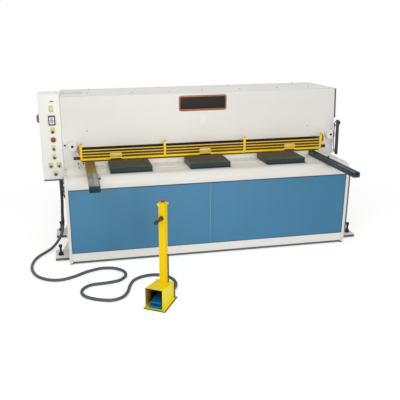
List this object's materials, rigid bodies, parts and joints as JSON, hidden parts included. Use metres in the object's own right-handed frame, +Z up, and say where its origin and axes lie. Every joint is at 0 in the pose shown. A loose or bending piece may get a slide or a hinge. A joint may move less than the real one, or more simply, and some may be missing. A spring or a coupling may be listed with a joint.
{
  "type": "hydraulic plate shear",
  "caption": "Hydraulic plate shear: long bed, rear housing over a raked blade on a ram, finger guard, side control box, and a hooded foot switch on a post joined by a cable.",
  "frame": {"origin": "on the floor under the middle of the object's bounding box, free cord left out", "axes": "+X along the bed towards the right end, +Y from the operator's side to the rear, +Z up"},
  "size_m": [3.4184, 2.184, 1.6],
  "materials": {
    "ivory_paint": "semi-gloss ivory enamel",
    "blue_paint": "semi-gloss blue enamel",
    "yellow_paint": "gloss safety yellow enamel",
    "slate_metal": "satin dark slate finish",
    "steel": "ground steel",
    "black_plastic": "matte black",
    "cord_grey": "grey flexible conduit",
    "red_plastic": "gloss red",
    "switch_blue": "blue enamel on a cast foot switch",
    "lamp_white": "clear white lens"
  },
  "bodies": {
    "machine": {"left_side_frame": "ivory_paint", "right_side_frame": "ivory_paint", "bed": "ivory_paint", "bottom_rail": "ivory_paint", "rear_rail": "ivory_paint", "upper_front_panel": "ivory_paint", "top_cover": "ivory_paint", "rear_panel": "ivory_paint", "rear_chute": "ivory_paint", "boss_left": "ivory_paint", "boss_right": "ivory_paint", "control_box": "ivory_paint", "front_panel_left": "blue_paint", "front_panel_right": "blue_paint", "guard": "yellow_paint", "pedal_hood": "yellow_paint", "pedal_column": "yellow_paint", "support_pad_left": "slate_metal", "support_pad_middle": "slate_metal", "support_pad_right": "slate_metal", "holddown_beam": "slate_metal", "support_arm": "slate_metal", "throat_cover": "slate_metal", "lower_blade": "steel", "squaring_arm": "steel", "levelling_jack_left_front": "black_plastic", "levelling_jack_left_rear": "black_plastic", "levelling_jack_right_front": "black_plastic", "levelling_jack_right_rear": "black_plastic", "timer": "black_plastic", "conduit": "black_plastic", "conduit_coupling": "black_plastic", "column_handle": "black_plastic", "cord_gland": "black_plastic", "pedal_cord": "cord_grey", "switch_base": "switch_blue", "lamp": "lamp_white"},
    "ram": {"ram_beam": "slate_metal", "upper_blade": "steel"},
    "start_push": {"start_button": "black_plastic"},
    "jog_push_left": {"jog_button_left": "black_plastic"},
    "jog_push_right": {"jog_button_right": "black_plastic"},
    "panel_stop": {"panel_stop_button": "red_plastic"},
    "light_knob": {"light_selector": "black_plastic"},
    "mode_knob": {"mode_selector": "black_plastic"},
    "gauge_knob": {"gauge_selector": "black_plastic"},
    "main_knob": {"main_switch": "red_plastic"},
    "pedal_stop": {"pedal_stop_button": "red_plastic"},
    "pedal": {"treadle": "switch_blue"}
  },
  "joints": [
    {"name": "ram_stroke", "type": "slide", "parent": "machine", "child": "ram", "axis": [0, 0, -1], "range_m": [0, 0.075]},
    {"name": "start_press", "type": "slide", "parent": "machine", "child": "start_push", "axis": [0, 1, 0], "range_m": [0, 0.004], "stiffness_N_per_m": 400, "springref_m": -0.004},
    {"name": "jog_left_press", "type": "slide", "parent": "machine", "child": "jog_push_left", "axis": [0, 1, 0], "range_m": [0, 0.004], "stiffness_N_per_m": 400, "springref_m": -0.004},
    {"name": "jog_right_press", "type": "slide", "parent": "machine", "child": "jog_push_right", "axis": [0, 1, 0], "range_m": [0, 0.004], "stiffness_N_per_m": 400, "springref_m": -0.004},
    {"name": "panel_stop_press", "type": "slide", "parent": "machine", "child": "panel_stop", "axis": [0, 1, 0], "range_m": [0, 0.006]},
    {"name": "light_turn", "type": "hinge", "parent": "machine", "child": "light_knob", "pos_m": [-1.489, 0.42174, 1.063], "axis": [0, -1, 0], "range_deg": [-45, 45]},
    {"name": "mode_turn", "type": "hinge", "parent": "machine", "child": "mode_knob", "pos_m": [-1.489, 0.42174, 0.976], "axis": [0, -1, 0], "range_deg": [-45, 45]},
    {"name": "gauge_turn", "type": "hinge", "parent": "machine", "child": "gauge_knob", "pos_m": [-1.489, 0.42174, 0.806], "axis": [0, -1, 0], "range_deg": [-45, 45]},
    {"name": "main_switch_turn", "type": "hinge", "parent": "machine", "child": "main_knob", "pos_m": [-1.6103, 0.55204, 1.3501], "axis": [-1, 0, 0], "range_deg": [0, 90]},
    {"name": "pedal_stop_press", "type": "slide", "parent": "machine", "child": "pedal_stop", "axis": [0, 0, -1], "range_m": [0, 0.006]},
    {"name": "treadle_press", "type": "hinge", "parent": "machine", "child": "pedal", "pos_m": [-0.71261, -0.99968, 0.042], "axis": [-0.8448, 0.5351, 0], "range_deg": [0, 9], "stiffness_Nm_per_rad": 8, "springref_deg": -8.59}
  ]
}
